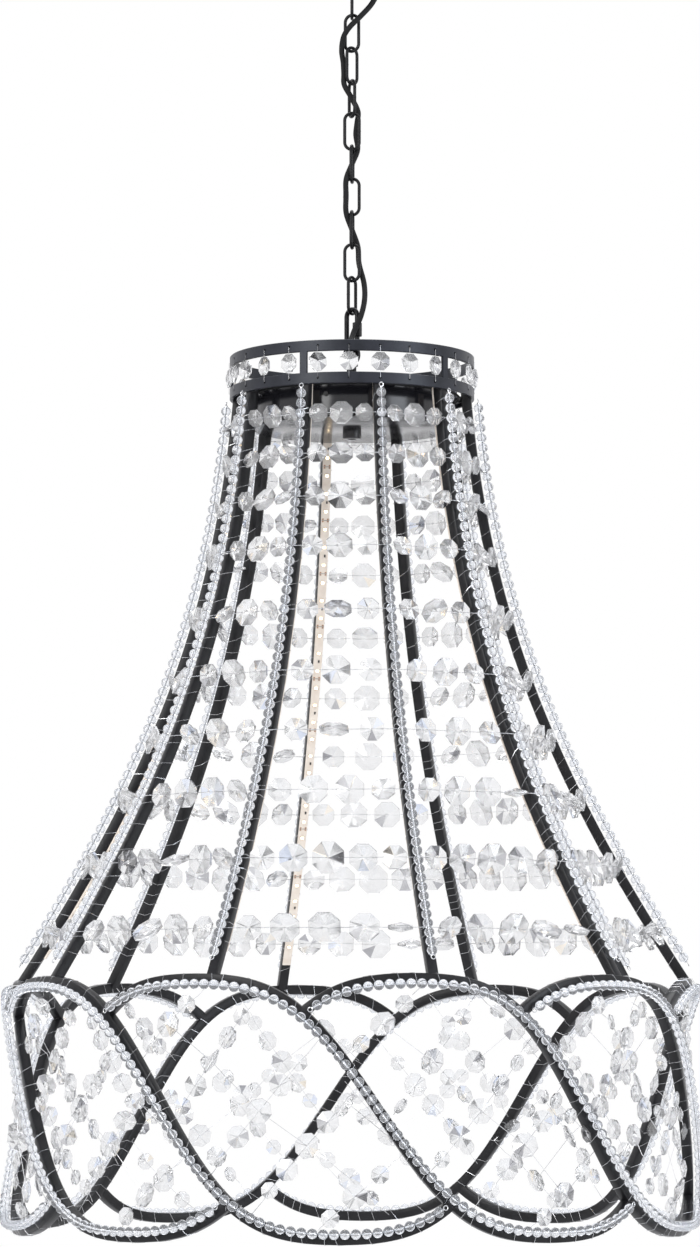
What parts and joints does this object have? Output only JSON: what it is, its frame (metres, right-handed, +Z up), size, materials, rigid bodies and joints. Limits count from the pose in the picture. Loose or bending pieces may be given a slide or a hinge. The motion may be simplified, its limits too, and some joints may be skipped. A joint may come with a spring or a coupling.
{
  "type": "beaded chandelier",
  "caption": "Bell-shaped chandelier of curved black ribs strung with glass beads and crystal rows, with an interlaced wave rim, hung by a chain and cord from a ceiling canopy.",
  "frame": {"origin": "centre of the ceiling crossbar's top face, in the plane of the ceiling", "axes": "+Z up into the ceiling; the lamp hangs along -Z; -Y is the pictured front and +X its right"},
  "size_m": [0.6306, 0.6306, 1.1832],
  "materials": {
    "satin_black": "satin black powder coat",
    "black_steel": "black plated steel",
    "zinc_steel": "zinc plated",
    "black_plastic": "moulded black nylon",
    "cord_black": "matte black cord",
    "driver_white": "white driver case",
    "warm_light": "warm white light strip",
    "clear_glass": "clear faceted crystal",
    "bead_glass": "clear glass beads"
  },
  "bodies": {
    "ceiling": {"canopy_cup": "satin_black", "ceiling_crossbar": "zinc_steel", "canopy_loop": "black_steel", "canopy_cord_grip": "black_plastic", "supply_cord": "cord_black"},
    "link_01": {"chain_link_01": "black_steel"},
    "chain_upper": {"chain_link_02": "black_steel", "chain_link_03": "black_steel", "chain_link_04": "black_steel", "chain_link_05": "black_steel", "chain_link_06": "black_steel"},
    "chain_lower": {"chain_link_07": "black_steel", "chain_link_08": "black_steel", "chain_link_09": "black_steel", "chain_link_10": "black_steel"},
    "quick": {"quick_link": "black_steel"},
    "sleeve": {"quick_link_sleeve": "black_steel"},
    "lamp": {"lifting_eye": "black_steel", "hanger_cross": "satin_black", "crown_ring": "satin_black", "driver_housing": "satin_black", "housing_cord_gland": "black_plastic", "housing_cover": "satin_black", "cover_nut": "black_steel", "led_driver_left": "driver_white", "led_driver_right": "driver_white", "led_strips": "warm_light", "rim_crystals": "clear_glass", "frame_arm_01": "satin_black", "frame_arm_02": "satin_black", "frame_arm_03": "satin_black", "frame_arm_04": "satin_black", "frame_arm_05": "satin_black", "frame_arm_06": "satin_black", "frame_arm_07": "satin_black", "frame_arm_08": "satin_black", "frame_arm_09": "satin_black", "frame_arm_10": "satin_black", "bead_strand_01": "bead_glass", "bead_strand_02": "bead_glass", "bead_strand_03": "bead_glass", "bead_strand_04": "bead_glass", "bead_strand_05": "bead_glass", "bead_strand_06": "bead_glass", "bead_strand_07": "bead_glass", "bead_strand_08": "bead_glass", "bead_strand_09": "bead_glass", "bead_strand_10": "bead_glass", "crystal_row_01": "clear_glass", "crystal_row_02": "clear_glass", "crystal_row_03": "clear_glass", "crystal_row_04": "clear_glass", "crystal_row_05": "clear_glass", "crystal_row_06": "clear_glass", "crystal_row_07": "clear_glass", "crystal_row_08": "clear_glass", "crystal_row_09": "clear_glass", "crystal_row_10": "clear_glass"}
  },
  "joints": [
    {"name": "loop_swing", "type": "hinge", "parent": "ceiling", "child": "link_01", "pos_m": [0, 0, -0.0463], "axis": [1, 0, 0], "range_deg": [-10, 10], "deforming": ["supply_cord"]},
    {"name": "link_01_swing", "type": "hinge", "parent": "link_01", "child": "chain_upper", "pos_m": [0, 0, -0.0763], "axis": [0, -1, 0], "range_deg": [-10, 10]},
    {"name": "link_06_swing", "type": "hinge", "parent": "chain_upper", "child": "chain_lower", "pos_m": [0, 0, -0.2288], "axis": [-0.1392, -0.9903, 0], "range_deg": [-10, 10]},
    {"name": "link_10_swing", "type": "hinge", "parent": "chain_lower", "child": "quick", "pos_m": [0, 0, -0.3508], "axis": [0.5, 0.866, 0], "range_deg": [-10, 10]},
    {"name": "lamp_swivel", "type": "hinge", "parent": "quick", "child": "lamp", "pos_m": [0, 0, -0.3877], "axis": [0, 0, 1], "range_deg": [-15, 15]},
    {"name": "sleeve_slide", "type": "slide", "parent": "quick", "child": "sleeve", "axis": [0, 0, 1], "range_m": [0, 0.0055]}
  ]
}
